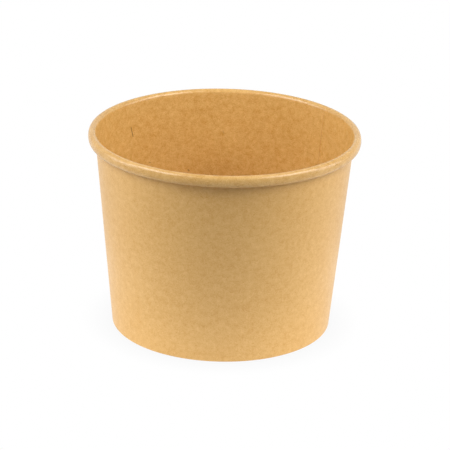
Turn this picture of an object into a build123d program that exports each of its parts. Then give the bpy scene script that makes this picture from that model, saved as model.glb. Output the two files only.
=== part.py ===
from build123d import *
import os
from math import asin, atan2, cos, degrees, hypot, sin, tan

# A paper soup cup with a rolled rim, made of two pieces of plain brown paperboard.
# The side wall is one blank, wrapped into a cone and lapped at a seam. Its top edge is
# rolled outwards into a rim, and its lower edge is folded inwards into a hem.
# The base is a disc with a turned-down skirt, which the hem clasps against the wall.
# Millimetres. The origin is the centre of the foot, on the table, and +Z is up.

# The whole cup
cup_height = 73.1
rim_diameter = 98.0
foot_diameter = 79.6

# The two boards, and the film of sealant between them
wall_board = 0.42
base_board = 0.35
seal_gap = 0.04

# The rolled rim: outside radii of its crown and of its lower curl
roll_height = 4.14
crown_radius = 1.43
curl_radius = 1.2
curl_turn = 195.0

# The foot: a hem folded inwards, and the floor that stands above it
hem_height = 5.8
fold_radius = 0.26
floor_height = 7.0
floor_corner_radius = 0.6
skirt_clearance = 0.15

# The lap seam: the inner board ends at the seam angle, counted from +X towards +Y, and the
# outer board steps over it in the joggle and covers it for the width of the lap. The lap is
# pressed as it is sealed, so the step is lower than a board is thick.
seam_angle = 38.0
lap_step = 0.25
lap_width = 7.5
joggle_width = 2.5
lap_foot_height = 0.9
lap_bevel = 0.6
lap_weld = 0.1
step_hidden_height = 3.5
step_fade = 2.5

# The wall's lean from upright: its outer face runs from the foot to a tangent on the
# crown's hollow side
rim_radius = rim_diameter / 2
foot_radius = foot_diameter / 2
crown_axis = Vector(rim_radius - crown_radius, cup_height - crown_radius)
lean_to_axis = atan2(crown_axis.X - foot_radius, crown_axis.Y)
crown_hollow = crown_radius - wall_board
lean = lean_to_axis - asin(crown_hollow / hypot(crown_axis.X - foot_radius, crown_axis.Y))
lean_degrees = degrees(lean)
outward = Vector(cos(lean), -sin(lean))

# Insets from the wall's outer face, square to it, in the order that the foot is layered
wall_middle = wall_board / 2
skirt_middle = wall_board + seal_gap + base_board / 2
hem_middle = wall_board + 2 * seal_gap + base_board + wall_board / 2

# Angles that the lap and the joggle take up, at the cup's mean radius
mean_radius = (rim_radius + foot_radius) / 2
lap_angle = degrees(lap_width / mean_radius)
joggle_angle = degrees(joggle_width / mean_radius)


def wall_point(height, inset):
    """Point of the cup's section at a height, this far inside the wall's outer face."""
    return Vector(foot_radius + height * tan(lean) - inset / cos(lean), height)


def board_of_revolution(runs, board):
    """Solid of revolution of a board whose middle follows these lines and arcs."""
    section = trace(Curve(runs), board)
    return revolve(Plane.XZ * section, Axis.Z)


def rolled_wall():
    """Board of the side wall all round: hem, foot fold, wall, crown, rim face and curl."""
    fold_level = wall_middle + fold_radius
    fold_shift = fold_radius * sin(lean)
    wall_foot = wall_point(fold_level - fold_shift, wall_middle)
    sole_end = wall_foot - outward * fold_radius
    wall_top = crown_axis - outward * (crown_radius - wall_middle)
    face_length = roll_height - crown_radius - curl_radius

    hem = Line(
        wall_point(hem_height, hem_middle), wall_point(fold_level + fold_shift, hem_middle)
    )
    inner_fold = JernArc(hem @ 1, hem % 1, fold_radius, 90 + lean_degrees)
    sole = Line(inner_fold @ 1, Vector(sole_end.X, wall_middle))
    outer_fold = JernArc(sole @ 1, sole % 1, fold_radius, 90 - lean_degrees)
    wall = Line(outer_fold @ 1, wall_top)
    crown = JernArc(wall @ 1, wall % 1, crown_radius - wall_middle, lean_degrees - 180)
    rim_face = Line(crown @ 1, crown @ 1 - Vector(0, face_length))
    curl = JernArc(rim_face @ 1, rim_face % 1, curl_radius - wall_middle, -curl_turn)
    runs = [hem, inner_fold, sole, outer_fold, wall, crown, rim_face, curl]
    return board_of_revolution(runs, wall_board)


def joggle_section(height, root, crest):
    """Wedge across the joggle at a height, from an inset at its toe to one at the lap."""
    toe = seam_angle - joggle_angle
    corners = [(root, seam_angle), (crest, seam_angle), (root, toe)]
    points = [
        Vector(wall_point(height, inset).X, 0, height).rotate(Axis.Z, angle)
        for inset, angle in corners
    ]
    return Face(Wire.make_polygon(points))


def lap_layer(surface, side, low, high):
    """Second board over the lap, on a face at this inset, outwards (1) or inwards (-1)."""
    root = surface + side * lap_weld
    crest = surface - side * lap_step
    bevel_top = low + lap_bevel
    outline = Polyline(
        wall_point(low, root),
        wall_point(low, surface),
        wall_point(bevel_top, crest),
        wall_point(high, crest),
        wall_point(high, root),
        close=True,
    )
    strip = revolve(Plane.XZ * make_face(outline), Axis.Z, lap_angle)
    joggle_sections = [
        joggle_section(low, root, surface),
        joggle_section(bevel_top, root, crest),
        joggle_section(high, root, crest),
    ]
    return Rot(0, 0, seam_angle) * strip + loft(joggle_sections, ruled=True)


def inner_step():
    """Hollow inside the joggle, which bares the inner board's edge and fades at both ends."""
    root = wall_board + lap_weld
    crest = wall_board - lap_step
    faded = wall_board + lap_weld / 2
    crown_start = crown_axis.Y + crown_radius * sin(lean)
    sections = [
        joggle_section(step_hidden_height - step_fade, root, faded),
        joggle_section(step_hidden_height, root, crest),
        joggle_section(crown_start - step_fade, root, crest),
        joggle_section(crown_start, root, faded),
    ]
    return loft(sections, ruled=True)


def side_wall():
    """Wrapped and rolled side wall, with the lap of its blank outside, inside and on the hem."""
    curl_level = cup_height - roll_height + curl_radius
    outer_lap = lap_layer(0, 1, lap_foot_height, curl_level)
    hem_lap = lap_layer(hem_middle + wall_middle, -1, lap_foot_height, hem_height)
    return rolled_wall() + outer_lap + hem_lap - inner_step()


def base_disc():
    """Floor of the cup, with a rounded corner and a skirt between the wall and the hem."""
    floor_level = floor_height - base_board / 2
    corner_fall = floor_corner_radius * (1 + sin(lean))
    skirt_top = wall_point(floor_level - corner_fall, skirt_middle)
    corner_start = skirt_top - outward * floor_corner_radius

    floor = Line(Vector(0, floor_level), Vector(corner_start.X, floor_level))
    corner = JernArc(floor @ 1, floor % 1, floor_corner_radius, -90 - lean_degrees)
    skirt = Line(corner @ 1, wall_point(wall_board + skirt_clearance, skirt_middle))
    return board_of_revolution([floor, corner, skirt], base_board)


os.makedirs("parts", exist_ok=True)
export_step(side_wall(), "parts/side_wall.step")
export_step(base_disc(), "parts/base_disc.step")
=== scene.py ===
from math import asin, atan2, cos, hypot, pi, radians, sin, tan

import bpy
from mathutils import Matrix, Vector


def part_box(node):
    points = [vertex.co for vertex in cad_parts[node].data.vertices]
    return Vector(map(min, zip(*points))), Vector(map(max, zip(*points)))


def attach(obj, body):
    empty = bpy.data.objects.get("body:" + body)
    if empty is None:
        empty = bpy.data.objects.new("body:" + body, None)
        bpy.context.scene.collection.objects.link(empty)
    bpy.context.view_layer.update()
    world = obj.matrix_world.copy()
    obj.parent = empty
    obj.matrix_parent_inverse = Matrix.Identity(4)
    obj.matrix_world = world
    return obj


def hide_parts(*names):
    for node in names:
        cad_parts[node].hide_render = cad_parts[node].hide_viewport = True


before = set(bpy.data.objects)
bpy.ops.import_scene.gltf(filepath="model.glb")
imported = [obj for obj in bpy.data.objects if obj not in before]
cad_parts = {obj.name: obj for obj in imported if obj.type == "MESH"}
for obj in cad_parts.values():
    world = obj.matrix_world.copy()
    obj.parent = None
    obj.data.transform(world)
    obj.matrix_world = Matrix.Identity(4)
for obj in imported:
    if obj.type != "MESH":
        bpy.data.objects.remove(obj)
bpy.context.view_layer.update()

# The side wall is one blank of unbleached brown paperboard, lined with a clear film on the side
# that holds the food. It is wrapped into a cone and sealed where its ends lap, rolled outwards at
# the top into the rim, and folded inwards at the foot into a hem that is knurled as it is sealed.
mm = 0.001
cup_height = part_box("side_wall")[1].z
rim_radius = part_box("side_wall")[1].x
foot_radius = 39.8 * mm
wall_board = 0.42 * mm
base_board = 0.35 * mm
seal_gap = 0.04 * mm

roll_height = 4.14 * mm
crown_radius = 1.43 * mm
curl_radius = 1.2 * mm
curl_turn = radians(195)
face_crown = radians(17)
hem_height = 5.8 * mm
fold_radius = 0.26 * mm

seam_angle = radians(38)
lap_step = 0.25 * mm
lap_width = 7.5 * mm
joggle_width = 2.5 * mm
lap_foot_height = 0.9 * mm
lap_bevel = 0.6 * mm
lap_hidden_level = cup_height - roll_height + curl_radius
step_foot_height = 1.0 * mm
step_fade = 2.5 * mm
inner_step_share = 0.3
rolled_step_share = 0.12

knurl_count = 144
knurl_depth = 0.07 * mm
knurl_low = 1.2 * mm
knurl_high = 5.2 * mm
knurl_fade = 0.3 * mm
wall_waviness = 0.05 * mm
wave_length = 40 * mm
wave_start = 8 * mm
wave_full_from = 25 * mm
wave_full_to = 50 * mm
wave_end = 68 * mm
crisp_angle = radians(38)
least_sweep = 1e-6
touching = 0.001 * mm

crown_axis_x = rim_radius - crown_radius
crown_axis_z = cup_height - crown_radius
lean_to_axis = atan2(crown_axis_x - foot_radius, crown_axis_z)
crown_hollow = crown_radius - wall_board
lean = lean_to_axis - asin(crown_hollow / hypot(crown_axis_x - foot_radius, crown_axis_z))
crown_start = crown_axis_z + crown_radius * sin(lean)
mean_radius = (rim_radius + foot_radius) / 2
wall_middle = wall_board / 2
hem_middle = wall_board + 2 * seal_gap + base_board + wall_middle


def wall_point(height, inset):
    """Point (x, z) of the cup's section at a height, this far inside the wall's outer face."""
    return foot_radius + height * tan(lean) - inset / cos(lean), height


def run_line(path, run, length, steps):
    """Carries a path of (x, z, heading, run) points straight on."""
    x, z, heading, _ = path[-1]
    for step in range(1, steps + 1):
        part = length * step / steps
        path.append((x + part * cos(heading), z + part * sin(heading), heading, run))


def run_arc(path, run, radius, turn, steps):
    """Carries a path of (x, z, heading, run) points round an arc, to the left if turn is over 0."""
    x, z, heading, _ = path[-1]
    side = radius if turn > 0 else -radius
    centre_x = x - side * sin(heading)
    centre_z = z + side * cos(heading)
    for step in range(1, steps + 1):
        now = heading + turn * step / steps
        path.append((centre_x + side * sin(now), centre_z - side * cos(now), now, run))


def wall_path():
    """Middle of the wall's board, from the top of the hem round to the tip of the curl."""
    fold_level = wall_middle + fold_radius
    fold_shift = fold_radius * sin(lean)
    hem_x, hem_z = wall_point(hem_height, hem_middle)
    hem_foot_x, hem_foot_z = wall_point(fold_level + fold_shift, hem_middle)
    foot_x, foot_z = wall_point(fold_level - fold_shift, wall_middle)
    sole_width = foot_x - hem_foot_x - 2 * fold_radius * cos(lean)
    curl_bend = curl_radius - wall_middle
    face_height = roll_height - crown_radius - curl_radius
    face_bend = (face_height / sin(face_crown) + crown_radius + curl_radius) / 2 - wall_middle
    roll_middle = rim_radius - wall_middle - face_bend * (1 - cos(face_crown))
    roll_width = roll_middle - wall_point(cup_height - wall_middle, wall_middle)[0]
    crown_bend = roll_width / (cos(lean) + cos(face_crown) - (1 - sin(lean)) * tan(lean))
    top_z = cup_height - wall_middle - crown_bend * (1 - sin(lean))
    top_x = wall_point(top_z, wall_middle)[0]

    path = [(hem_x, hem_z, -pi / 2 - lean, "hem")]
    run_line(path, "hem", hypot(hem_x - hem_foot_x, hem_z - hem_foot_z), steps=18)
    run_arc(path, "fold", fold_radius, pi / 2 + lean, steps=6)
    run_line(path, "fold", sole_width, steps=1)
    run_arc(path, "fold", fold_radius, pi / 2 - lean, steps=6)
    run_line(path, "wall", hypot(top_x - foot_x, top_z - foot_z), steps=46)
    run_arc(path, "rim", crown_bend, lean + face_crown - pi, steps=20)
    run_arc(path, "rim", face_bend, -2 * face_crown, steps=8)
    run_arc(path, "rim", curl_bend, face_crown - curl_turn, steps=18)
    return path


PLAIN, LINED, CUT = 0, 1, 2


def board_outline(path, board, closed):
    """Goes round a board that follows a path: up its lined face and back down its plain one.

    It is closed at the start of the path, unless that lies on the cup's axis."""
    outline = []
    for face, order in ((LINED, path), (PLAIN, path[::-1])):
        side = board / 2 if face == LINED else -board / 2
        for x, z, heading, run in order:
            place = Vector((x - side * sin(heading), 0, z + side * cos(heading)))
            to_plain = Vector((sin(heading), 0, -cos(heading)))
            outline.append({"place": place, "to_plain": to_plain, "face": face, "run": run})
    if closed:
        outline.append(dict(outline[0]))
    along = 0
    for before, point in zip(outline[:1] + outline, outline):
        along += (point["place"] - before["place"]).length
        point["along"] = along
    for number in (len(path) - 1, 2 * len(path) - 1):
        outline[number]["next_face"] = CUT
    return outline


def ramp(value, start, end):
    """Rises smoothly from 0 at the start to 1 at the end."""
    part = min(max((value - start) / (end - start), 0), 1)
    return part * part * (3 - 2 * part)


def outer_lap(point):
    """Share of the lap's step by which the outer end of the blank lifts the plain face."""
    if point["face"] != PLAIN or point["run"] not in ("hem", "wall"):
        return 0
    height = point["place"].z
    foot = ramp(height, lap_foot_height, lap_foot_height + lap_bevel)
    if point["run"] == "hem":
        return foot
    return foot * (1 - ramp(height, lap_hidden_level - lap_bevel, lap_hidden_level))


def inner_lap(point):
    """Share of the lap's step by which the lined face drops in the joggle.

    The melted lining fills most of the step there."""
    if point["face"] != LINED or point["run"] not in ("wall", "rim"):
        return 0
    height = point["place"].z
    foot = ramp(height, step_foot_height, step_foot_height + step_fade)
    top = ramp(height, crown_start - step_fade, crown_start) if point["run"] == "wall" else 1
    return foot * (inner_step_share - top * (inner_step_share - rolled_step_share))


def knurl(point):
    """Share of the knurl's depth that is pressed into the hem's plain face."""
    if point["face"] != PLAIN or point["run"] != "hem":
        return 0
    height = point["place"].z
    low = ramp(height, knurl_low - knurl_fade, knurl_low)
    return low * (1 - ramp(height, knurl_high, knurl_high + knurl_fade))


def waviness(point):
    """Share of the waviness, which dies away towards the foot and the rim."""
    if point["run"] != "wall":
        return 0
    height = point["place"].z
    low = ramp(height, wave_start, wave_full_from)
    return low * (1 - ramp(height, wave_full_to, wave_end))


def blank_columns():
    """Columns round the cup, from the free edge of the lap: angle and lift of each face.

    Each is (angle, outer lift, inner lift, laid angle), and the laid angle is where the lined
    face of the blank lies, because that face starts anew at the seam."""
    joggle_start = seam_angle - joggle_width / mean_radius + 2 * pi
    seam = seam_angle + 2 * pi
    lap_end = seam_angle + lap_width / mean_radius + 2 * pi
    free_edge = lap_end - 2 * pi
    columns_in_turn = 2 * knurl_count
    spacing = 2 * pi / columns_in_turn
    seam_steps = 8
    columns = [(free_edge, 0, 0, free_edge)]
    for number in range(2 * columns_in_turn):
        angle = number * spacing
        if free_edge + spacing / 4 < angle < joggle_start - spacing / 4:
            columns.append((angle, 0, 0, angle))
    for step in range(seam_steps + 1):
        angle = joggle_start + (seam - joggle_start) * step / seam_steps
        lift = ramp(step, 0, seam_steps)
        columns.append((angle, lift, lift, angle))
    for step in range(seam_steps + 1):
        angle = seam + (lap_end - seam) * step / seam_steps
        columns.append((angle, 1, 0, angle - 2 * pi))
    columns.append((lap_end, 0, 0, free_edge))
    return columns


def point_mesh(name, places, values):
    """Object whose points hold the given values, for a wrap to read. It isn't shown."""
    mesh = bpy.data.meshes.new(name)
    mesh.from_pydata([tuple(place) for place in places], [], [])
    for key, numbers in values.items():
        mesh.attributes.new(key, "FLOAT", "POINT").data.foreach_set("value", numbers)
    made = bpy.data.objects.new(name, mesh)
    bpy.context.scene.collection.objects.link(made)
    return made


def feed(tree, socket, value):
    """Links an input to a node or to one of its outputs, or gives it a plain value."""
    if isinstance(value, bpy.types.Node):
        value = [output for output in value.outputs if output.enabled][0]
    if isinstance(value, bpy.types.NodeSocket):
        tree.links.new(value, socket)
    else:
        socket.default_value = value


def add(tree, kind, *values, **settings):
    """Adds a node with these settings, and feeds its inputs in their order."""
    node = tree.nodes.new(kind)
    for name, value in settings.items():
        setattr(node, name, value)
    sockets = [socket for socket in node.inputs if socket.enabled]
    for socket, value in zip(sockets, values):
        feed(tree, socket, value)
    return node


def maths(tree, operation, *values):
    """Adds a Math node."""
    return add(tree, "ShaderNodeMath", *values, operation=operation)


def scaled(tree, vector, factor):
    """Adds a node that makes a vector or a colour this many times as large."""
    node = add(tree, "ShaderNodeVectorMath", vector, operation="SCALE")
    feed(tree, node.inputs["Scale"], factor)
    return node


def wrap_tree():
    """Geometry nodes that sweep a board's outline round the cup, over the lap of the blank."""
    tree = bpy.data.node_groups.new("wrap_board", "GeometryNodeTree")
    for name, kind in (
        ("Outline", "Geometry"), ("Columns", "Object"), ("Lap step", "Float"),
        ("Mean radius", "Float"), ("Knurl count", "Float"), ("Knurl depth", "Float"),
        ("Waviness", "Float"), ("Wave length", "Float"), ("Seed", "Float"),
        ("Flat pattern", "Bool"), ("Plain face", "Material"), ("Lined face", "Material"),
        ("Cut edge", "Material"),
    ):
        tree.interface.new_socket(name, in_out="INPUT", socket_type="NodeSocket" + kind)
    tree.interface.new_socket("Wrapped", in_out="OUTPUT", socket_type="NodeSocketGeometry")
    given = tree.nodes.new("NodeGroupInput").outputs
    outline = given["Outline"]
    columns = add(tree, "GeometryNodeObjectInfo", given["Columns"]).outputs["Geometry"]

    def value_at(source, name, index, kind="FLOAT"):
        """Value that a point of the outline or of the columns holds."""
        if name == "position":
            held = tree.nodes.new("GeometryNodeInputPosition")
        else:
            held = add(tree, "GeometryNodeInputNamedAttribute", name, data_type=kind)
        return add(tree, "GeometryNodeSampleIndex", source, held, index, data_type=kind)

    # A grid with a row for each point of the outline and a turn for each column
    rows = add(tree, "GeometryNodeAttributeDomainSize", outline).outputs["Point Count"]
    turns = add(tree, "GeometryNodeAttributeDomainSize", columns).outputs["Point Count"]
    grid = add(tree, "GeometryNodeMeshGrid", 1, 1, turns, rows)
    index = tree.nodes.new("GeometryNodeInputIndex")
    turn = add(tree, "FunctionNodeIntegerMath", index, rows, operation="DIVIDE_FLOOR")
    row = add(tree, "FunctionNodeIntegerMath", index, rows, operation="MODULO")
    kept = add(tree, "GeometryNodeCaptureAttribute", grid)
    for name, value in (("Turn", turn), ("Row", row)):
        kept.capture_items.new("FLOAT", name)
        feed(tree, kept.inputs[name], value)

    # The board's section, lifted at the lap and pressed by the knurling, at its turn
    column = value_at(columns, "position", turn, "FLOAT_VECTOR")
    angle, outer_lift, inner_lift = add(tree, "ShaderNodeSeparateXYZ", column).outputs
    place = value_at(outline, "position", row, "FLOAT_VECTOR")
    to_plain = value_at(outline, "to_plain", row, "FLOAT_VECTOR")
    outer = maths(tree, "MULTIPLY", value_at(outline, "outer_lap", row), outer_lift)
    inner = maths(tree, "MULTIPLY", value_at(outline, "inner_lap", row), inner_lift)
    lap = maths(tree, "MULTIPLY", maths(tree, "ADD", outer, inner), given["Lap step"])
    ridge = maths(tree, "COSINE", maths(tree, "MULTIPLY", angle, given["Knurl count"]))
    press = maths(tree, "MULTIPLY_ADD", ridge, 0.5, 0.5)
    press = maths(tree, "MULTIPLY", press, value_at(outline, "knurl", row))
    press = maths(tree, "MULTIPLY", press, given["Knurl depth"])
    lifted = scaled(tree, to_plain, maths(tree, "SUBTRACT", lap, press))
    section = add(tree, "ShaderNodeVectorMath", place, lifted, operation="ADD")
    wrapped = add(tree, "ShaderNodeVectorRotate", section, (0, 0, 0), (0, 0, 1), angle)

    # Slow waves in the wall, square to the cup's axis
    finer = maths(tree, "DIVIDE", 1, given["Wave length"])
    wave = add(tree, "ShaderNodeTexNoise", wrapped, given["Seed"], finer, 1.0,
               noise_dimensions="4D")
    swing = maths(tree, "MULTIPLY_ADD", wave, 2, -1)
    swing = maths(tree, "MULTIPLY", swing, value_at(outline, "waviness", row))
    swing = maths(tree, "MULTIPLY", swing, given["Waviness"])
    outwards = add(tree, "ShaderNodeCombineXYZ", swing, 0, 0)
    outwards = add(tree, "ShaderNodeVectorRotate", outwards, (0, 0, 0), (0, 0, 1), angle)
    final = add(tree, "ShaderNodeVectorMath", wrapped, outwards, operation="ADD")

    # The board's own map: as its blank lies flat, or for a disc as it is seen from above
    face = value_at(outline, "face", row)
    lined = add(tree, "FunctionNodeCompare", face, LINED, operation="EQUAL")
    laid = add(tree, "GeometryNodeSwitch", lined, angle, value_at(columns, "laid_angle", turn),
               input_type="FLOAT")
    around = maths(tree, "MULTIPLY", laid, given["Mean radius"])
    on_roll = add(tree, "ShaderNodeCombineXYZ", around, value_at(outline, "along", row), 0)
    pattern = add(tree, "GeometryNodeSwitch", given["Flat pattern"], on_roll, final,
                  input_type="VECTOR")
    kept.capture_items.new("VECTOR", "Pattern")
    feed(tree, kept.inputs["Pattern"], pattern)

    mesh = add(tree, "GeometryNodeSetPosition", kept.outputs["Geometry"], True, final)
    mesh = add(tree, "GeometryNodeStoreNamedAttribute", mesh, True, "board_map",
               kept.outputs["Pattern"], data_type="FLOAT2", domain="CORNER")

    # What each face is: plain, lined, or cut at the board's edges and at the ends of the lap
    face_row = maths(tree, "FLOOR", kept.outputs["Row"])
    face_turn = maths(tree, "FLOOR", kept.outputs["Turn"])
    next_turn = maths(tree, "ADD", face_turn, 1)
    here = value_at(columns, "position", face_turn, "FLOAT_VECTOR")
    there = value_at(columns, "position", next_turn, "FLOAT_VECTOR")
    apart = add(tree, "ShaderNodeVectorMath", here, there, operation="SUBTRACT")
    sweep = add(tree, "ShaderNodeSeparateXYZ", apart).outputs["X"]
    edge_on = maths(tree, "COMPARE", sweep, 0, least_sweep)
    kind = value_at(outline, "next_face", face_row)
    kind = maths(tree, "MAXIMUM", kind, maths(tree, "MULTIPLY", edge_on, CUT))
    face_kinds = add(tree, "GeometryNodeCaptureAttribute", mesh, domain="FACE")
    face_kinds.capture_items.new("FLOAT", "Kind")
    feed(tree, face_kinds.inputs["Kind"], kind)

    # The finished board: joined where its points touch, crisp at its edges
    mesh = add(tree, "GeometryNodeMergeByDistance", face_kinds, True, touching)
    mesh = add(tree, "GeometryNodeSetShadeSmooth", mesh, True, True, domain="FACE")
    fold = tree.nodes.new("GeometryNodeInputMeshEdgeAngle").outputs["Unsigned Angle"]
    crisp = add(tree, "FunctionNodeCompare", fold, crisp_angle, operation="GREATER_THAN")
    mesh = add(tree, "GeometryNodeSetShadeSmooth", mesh, crisp, False, domain="EDGE")
    mesh = add(tree, "GeometryNodeFlipFaces", mesh)
    mesh = add(tree, "GeometryNodeRealizeInstances", mesh)
    mesh = add(tree, "GeometryNodeSetMaterial", mesh, True, given["Plain face"])
    for name, code in (("Lined face", LINED), ("Cut edge", CUT)):
        chosen = maths(tree, "COMPARE", face_kinds.outputs["Kind"], code, 0.5)
        mesh = add(tree, "GeometryNodeSetMaterial", mesh, chosen, given[name])
    add(tree, "NodeGroupOutput", mesh)
    return tree


def wrap(name, path, board, closed, sizes):
    """Finished mesh object of a board, swept round the cup by the geometry nodes.

    The grid that the nodes start from brings an empty first material, which is taken out."""
    outline = board_outline(path, board, closed)
    values = {key: [make(point) for point in outline] for key, make in (
        ("outer_lap", outer_lap), ("inner_lap", inner_lap), ("knurl", knurl),
        ("waviness", waviness), ("along", lambda point: point["along"]),
        ("face", lambda point: point["face"]),
        ("next_face", lambda point: point.get("next_face", point["face"])),
    )}
    rolled = point_mesh(name, [point["place"] for point in outline], values)
    sides = rolled.data.attributes.new("to_plain", "FLOAT_VECTOR", "POINT")
    sides.data.foreach_set("vector", [part for point in outline for part in point["to_plain"]])
    modifier = rolled.modifiers.new("wrap", "NODES")
    modifier.node_group = wrapping
    for socket in wrapping.interface.items_tree:
        if socket.name in sizes:
            modifier[socket.identifier] = sizes[socket.name]
    bpy.context.view_layer.update()
    evaluated = rolled.evaluated_get(bpy.context.evaluated_depsgraph_get())
    mesh = bpy.data.meshes.new_from_object(evaluated)
    mesh.name = name
    mesh.materials.pop(index=0)
    rolled.modifiers.clear()
    rolled.data = mesh
    return rolled


def in_mm(tree):
    """The board's own map, in millimetres."""
    return scaled(tree, add(tree, "ShaderNodeUVMap", uv_map="board_map"), 1 / mm)


def clouding(tree, place, size, detail, crispness=0.55):
    """Noise between -1 and 1, with clouds of this size and finer ones within them."""
    noise = add(tree, "ShaderNodeTexNoise", place, 1 / size, detail, crispness)
    return maths(tree, "MULTIPLY_ADD", noise, 2, -1)


def fibres(tree, place, cell, length, width, bend, shift):
    """Mask of pulp fibres, one to each cell of a scattered net, turned and bent at random.

    Each fades towards its sides and its ends. Sizes are in millimetres."""
    moved = add(tree, "ShaderNodeVectorMath", place, (shift, shift * 0.7, 0), operation="ADD")
    net = add(tree, "ShaderNodeTexVoronoi", moved, 1 / cell, voronoi_dimensions="2D")
    centre = net.outputs["Position"]
    centred = add(tree, "ShaderNodeVectorMath", moved, centre, operation="SUBTRACT")
    dice = add(tree, "ShaderNodeSeparateXYZ", net.outputs["Color"])
    turn = maths(tree, "MULTIPLY", dice.outputs["X"], 2 * pi)
    turned = add(tree, "ShaderNodeVectorRotate", centred, (0, 0, 0), (0, 0, 1), turn)
    lie = add(tree, "ShaderNodeSeparateXYZ", turned)
    bow = maths(tree, "MULTIPLY", maths(tree, "SUBTRACT", dice.outputs["Y"], 0.5), bend)
    line = maths(tree, "MULTIPLY", lie.outputs["X"], lie.outputs["X"])
    line = maths(tree, "MULTIPLY_ADD", line, bow, lie.outputs["Y"])
    thick = maths(tree, "MULTIPLY", dice.outputs["Z"], width)
    across = add(tree, "ShaderNodeMapRange", maths(tree, "ABSOLUTE", line), thick, 0, 0, 1)
    reach = maths(tree, "ABSOLUTE", lie.outputs["X"])
    inside = add(tree, "ShaderNodeMapRange", reach, length / 2, length * 0.35, 0, 1)
    return maths(tree, "MULTIPLY", across, inside)


def inside_point(degrees_round, height):
    """Place on the inside of the wall, at an angle from +X and a height."""
    radius = wall_point(height, wall_board)[0]
    angle = radians(degrees_round)
    return Vector((radius * cos(angle), radius * sin(angle), height))


def dark_mark(tree, start, end, width):
    """Mask of a dark shive of bark that lies in the board from one place to another."""
    place = add(tree, "ShaderNodeTexCoord").outputs["Object"]
    reach = end - start
    from_start = add(tree, "ShaderNodeVectorMath", place, start, operation="SUBTRACT")
    part = add(tree, "ShaderNodeVectorMath", from_start, reach, operation="DOT_PRODUCT")
    part = maths(tree, "DIVIDE", part.outputs["Value"], reach.length_squared)
    on_line = scaled(tree, reach, add(tree, "ShaderNodeClamp", part))
    apart = add(tree, "ShaderNodeVectorMath", from_start, on_line, operation="DISTANCE")
    return add(tree, "ShaderNodeMapRange", apart.outputs["Value"], width, width / 4, 0, 1)


# Sizes in the pulp, and where the roll starts along the board's map, all in millimetres
cloud_size = 19
mottle_size = 2.4
grain_size = 0.42
roll_start = 77.5
roll_spread = 2.5


def board_finish(name, dark_pulp, pale_pulp, roughness, ior, relief, roll_painted_shade=0, marks=()):
    """Unbleached paperboard: cloudy and mottled, with pale and dark fibres in it.

    Where the board is rolled, its lined face is made darker with painted shade, standing in for
    the shade on the roll. It holds a few marks, each with its start, its end, its width and the
    share of the light that it takes."""
    material = bpy.data.materials.new(name)
    material.use_nodes = True
    tree = material.node_tree
    shader = tree.nodes["Principled BSDF"]
    place = in_mm(tree)
    clouds = clouding(tree, place, cloud_size, detail=2)
    mottle = clouding(tree, place, mottle_size, detail=3, crispness=0.85)
    grain = clouding(tree, place, grain_size, detail=2)
    short_pale = fibres(tree, place, cell=0.9, length=1.3, width=0.09, bend=0.9, shift=0)
    long_pale = fibres(tree, place, cell=1.5, length=2.4, width=0.08, bend=0.5, shift=31)
    long_dark = fibres(tree, place, cell=1.9, length=2.2, width=0.08, bend=0.6, shift=57)
    short_dark = fibres(tree, place, cell=1.2, length=1.1, width=0.07, bend=0.9, shift=83)
    pale = maths(tree, "ADD", short_pale, long_pale)
    dark = maths(tree, "ADD", long_dark, short_dark)

    tone = 0.5
    for layer, weight in ((clouds, 0.12), (mottle, 0.6), (grain, 0.25), (pale, 0.35), (dark, -0.5)):
        tone = maths(tree, "MULTIPLY_ADD", layer, weight, tone)
    blend = add(tree, "ShaderNodeMix", tone, dark_pulp, pale_pulp, data_type="RGBA",
                clamp_factor=False)
    # Painted shade: from the start of the roll on, the colour is made darker, standing in for the
    # shade on the roll.
    along = add(tree, "ShaderNodeSeparateXYZ", place).outputs["Y"]
    share = add(tree, "ShaderNodeMapRange", along, roll_start, roll_start + roll_spread,
                1, 1 - roll_painted_shade)
    for start, end, width, taken in marks:
        left = maths(tree, "MULTIPLY_ADD", dark_mark(tree, start, end, width), -taken, 1)
        share = maths(tree, "MULTIPLY", share, left)
    feed(tree, shader.inputs["Base Color"], scaled(tree, blend.outputs["Result"], share))
    feed(tree, shader.inputs["Roughness"], roughness)
    feed(tree, shader.inputs["IOR"], ior)
    height = mottle
    for layer, weight in ((grain, 0.3), (pale, 0.6), (dark, 0.6)):
        height = maths(tree, "MULTIPLY_ADD", layer, weight, height)
    feed(tree, shader.inputs["Normal"], add(tree, "ShaderNodeBump", 1.0, relief, 0.1, height))
    return material


def cut_edge_finish(name, colour, roughness, relief, layer_size):
    """Cut edge of the board: bare pulp in layers, paler and rougher than its faces."""
    material = bpy.data.materials.new(name)
    material.use_nodes = True
    tree = material.node_tree
    shader = tree.nodes["Principled BSDF"]
    place = add(tree, "ShaderNodeTexCoord").outputs["Object"]
    layers = clouding(tree, place, layer_size, detail=3)
    tone = maths(tree, "MULTIPLY_ADD", layers, 0.12, 1.0)
    feed(tree, shader.inputs["Base Color"], scaled(tree, colour, tone))
    feed(tree, shader.inputs["Roughness"], roughness)
    feed(tree, shader.inputs["Normal"], add(tree, "ShaderNodeBump", 1.0, relief, 0.1, layers))
    return material


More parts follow.
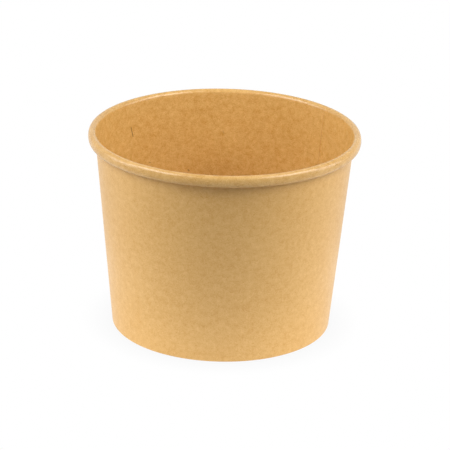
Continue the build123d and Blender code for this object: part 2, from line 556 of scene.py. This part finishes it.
plain_dark = (0.556, 0.288, 0.066, 1)
plain_pale = (0.747, 0.484, 0.198, 1)
lined_dark = (0.515, 0.249, 0.037, 1)
lined_pale = (0.816, 0.524, 0.198, 1)
edge_colour = (0.80, 0.52, 0.24)
shives = (
    (inside_point(140.2, 63.2 * mm), inside_point(139.2, 59.6 * mm), 0.24 * mm, 0.75),
    (inside_point(108.2, 42.6 * mm), inside_point(107.8, 42.2 * mm), 0.38 * mm, 0.5),
    (inside_point(129.9, 47.9 * mm), inside_point(128.9, 47.7 * mm), 0.28 * mm, 0.35),
    (inside_point(91.0, 57.2 * mm), inside_point(90.5, 56.4 * mm), 0.30 * mm, 0.2),
)
plain_board = board_finish(
    "plain_board", plain_dark, plain_pale, roughness=0.35, ior=1.33, relief=0.02 * mm,
)
# The lined board takes a painted shade on its roll, 8 % darker, standing in for the shade there.
lined_board = board_finish(
    "lined_board", lined_dark, lined_pale, roughness=0.25, ior=1.5, relief=0.01 * mm,
    roll_painted_shade=0.08, marks=shives,
)
cut_board = cut_edge_finish(
    "cut_board", edge_colour, roughness=0.85, relief=0.005 * mm, layer_size=0.12 * mm,
)

blank = blank_columns()
column_points = point_mesh("columns", [column[:3] for column in blank], {
    "laid_angle": [column[3] for column in blank],
})
wrapping = wrap_tree()
wall = wrap("side_wall_board", wall_path(), wall_board, closed=True, sizes={
    "Columns": column_points, "Lap step": lap_step, "Mean radius": mean_radius,
    "Knurl count": float(knurl_count), "Knurl depth": knurl_depth,
    "Waviness": wall_waviness, "Wave length": wave_length, "Seed": 3.0,
    "Plain face": plain_board, "Lined face": lined_board, "Cut edge": cut_board,
})
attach(wall, "root")
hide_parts("side_wall")

# The base is a disc of thinner lined board, pressed so that its edge turns down into a skirt.
# The skirt is clasped between the wall and the hem and sealed by the lining, which is melted
# there, and the floor stands clear of the table.
floor_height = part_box("base_disc")[1].z
floor_corner_radius = 0.6 * mm
skirt_clearance = 0.15 * mm
skirt_middle = wall_board + seal_gap + base_board / 2


def base_path():
    """Middle of the base's board, from the cup's axis to the lower edge of the skirt."""
    floor_level = floor_height - base_board / 2
    corner_fall = floor_corner_radius * (1 + sin(lean))
    skirt_x, skirt_z = wall_point(floor_level - corner_fall, skirt_middle)
    end_x, end_z = wall_point(wall_board + skirt_clearance, skirt_middle)
    path = [(0, floor_level, 0, "floor")]
    run_line(path, "floor", skirt_x - floor_corner_radius * cos(lean), steps=14)
    run_arc(path, "floor", floor_corner_radius, -pi / 2 - lean, steps=8)
    run_line(path, "skirt", hypot(skirt_x - end_x, skirt_z - end_z), steps=6)
    return path


base = wrap("base_disc_board", base_path(), base_board, closed=False, sizes={
    "Columns": column_points, "Lap step": 0.0, "Mean radius": mean_radius,
    "Knurl count": float(knurl_count), "Knurl depth": 0.0,
    "Waviness": 0.0, "Wave length": wave_length, "Seed": 5.0, "Flat pattern": True,
    "Plain face": plain_board, "Lined face": lined_board, "Cut edge": cut_board,
})
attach(base, "root")
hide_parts("base_disc")
bpy.data.objects.remove(column_points)

# The table is a matt sheet with a round patch under the cup and a little in front of it, which
# glows as painted light, though it is no lamp, and lights the cup from below. The table looks
# plain white to the camera and in reflections, and holds a painted soft contact shadow round the
# foot.
table_size = 3.0
table_grey = 0.35
patch_radius = 0.075
patch_centre = (0, -0.02, 0)
patch_softness = 0.05
patch_glow = 0.97
contact_reach = 0.012
contact_depth = 0.05
plain_white = (1, 1, 1, 1)

table_mesh = bpy.data.meshes.new("table")
half = table_size / 2
table_mesh.from_pydata(
    [(-half, -half, 0), (half, -half, 0), (half, half, 0), (-half, half, 0)], [], [(0, 1, 2, 3)]
)
table = bpy.data.objects.new("table", table_mesh)
bpy.context.scene.collection.objects.link(table)


def seen_directly(tree):
    """1 for rays from the camera, and for reflected and transmitted ones."""
    path = add(tree, "ShaderNodeLightPath").outputs
    seen = maths(tree, "MAXIMUM", path["Is Camera Ray"], path["Is Glossy Ray"])
    return maths(tree, "MAXIMUM", seen, path["Is Transmission Ray"])


table_material = bpy.data.materials.new("table_white")
table_material.use_nodes = True
tree = table_material.node_tree
tree.nodes.clear()
place = add(tree, "ShaderNodeTexCoord").outputs["Object"]
away = add(tree, "ShaderNodeVectorMath", place, patch_centre, operation="DISTANCE")
patch_inner = patch_radius * (1 - patch_softness)
patch_outer = patch_radius * (1 + patch_softness)
on_patch = add(tree, "ShaderNodeMapRange", away.outputs["Value"], patch_inner, patch_outer,
               patch_glow, 0)
sheet = add(tree, "ShaderNodeBsdfDiffuse", (table_grey, table_grey, table_grey, 1))
# Painted light: the patch glows and lights the cup from below, though it is no lamp.
patch = add(tree, "ShaderNodeEmission", plain_white, on_patch)
lit = add(tree, "ShaderNodeAddShader", sheet, patch)
# Painted shadow: for the camera and in reflections, the table's white is darkened round the foot by
# ambient occlusion.
hidden = add(tree, "ShaderNodeAmbientOcclusion", plain_white, contact_reach).outputs["AO"]
shadow = add(tree, "ShaderNodeMapRange", hidden, 0, 1, 1 - 2 * contact_depth, 1)
shown = add(tree, "ShaderNodeEmission", shadow, 1.0)
mixed = add(tree, "ShaderNodeMixShader", seen_directly(tree), lit, shown)
add(tree, "ShaderNodeOutputMaterial", mixed)
table_mesh.materials.append(table_material)

# The surroundings are a white studio: plain white where they are seen or mirrored, and a low
# even fill where they light the cup.
fill_strength = 0.03
fill_colour = (1.0, 0.98, 0.95, 1)

world = bpy.data.worlds.new("studio")
bpy.context.scene.world = world
world.use_nodes = True
tree = world.node_tree
tree.nodes.clear()
fill = add(tree, "ShaderNodeBackground", fill_colour, fill_strength)
white = add(tree, "ShaderNodeBackground", plain_white, 1.0)
mixed = add(tree, "ShaderNodeMixShader", seen_directly(tree), fill, white)
add(tree, "ShaderNodeOutputWorld", mixed)


# Two soft boxes hang left and right of the cup, in front and high, and two more stand lower,
# beside it. Two weak cards lie on the table, and their reflection pales the sides of the wall.
def soft_box(name, place, size, power, aim=(0, 0, cup_height / 2)):
    """Square white lamp at a place, facing the middle of the cup or another aim."""
    lamp = bpy.data.lights.new(name, "AREA")
    lamp.size = size
    lamp.energy = power
    made = bpy.data.objects.new(name, lamp)
    made.location = place
    facing = Vector(place) - Vector(aim)
    made.rotation_euler = facing.to_track_quat("Z", "Y").to_euler()
    made.visible_camera = False
    bpy.context.scene.collection.objects.link(made)


soft_box("left_front_box", (-0.420, -0.196, 0.450), size=0.4, power=3.31)
soft_box("right_front_box", (0.420, -0.196, 0.450), size=0.4, power=3.42)
soft_box("left_side_box", (-0.606, 0, 0.165), size=0.3, power=0.99)
soft_box("right_side_box", (0.606, 0, 0.165), size=0.3, power=0.99)
for card, across in (("left_card", -0.115), ("right_card", 0.115)):
    above = (across, -0.01, 1)
    soft_box(card, (across, -0.01, 0.002), size=0.11, power=0.012, aim=above)

# The camera stands a little over 20 degrees above the table, as the photograph was taken, with
# the cup nearly in the middle of its frame.
camera_elevation = radians(21.28)
camera_roll = radians(1.371)
camera_distance = 933.5 * mm
camera_lens = 205.16
camera_sensor = 36
aim_height = 35 * mm
aim_right = 0.886 * mm
aim_up = 1.531 * mm

forward = Vector((0, cos(camera_elevation), -sin(camera_elevation)))
level_up = Vector((0, sin(camera_elevation), cos(camera_elevation)))
level_right = Vector((1, 0, 0))
right = level_right * cos(camera_roll) + level_up * sin(camera_roll)
up = level_up * cos(camera_roll) - level_right * sin(camera_roll)
place = Vector((0, 0, aim_height)) - forward * camera_distance + right * aim_right + up * aim_up
camera = bpy.data.objects.new("camera", bpy.data.cameras.new("camera"))
camera.data.lens = camera_lens
camera.data.sensor_width = camera_sensor
facing = Matrix((right, up, -forward)).transposed().to_4x4()
camera.matrix_world = Matrix.Translation(place) @ facing
bpy.context.scene.collection.objects.link(camera)
bpy.context.scene.camera = camera
bpy.context.scene.view_settings.view_transform = "Standard"
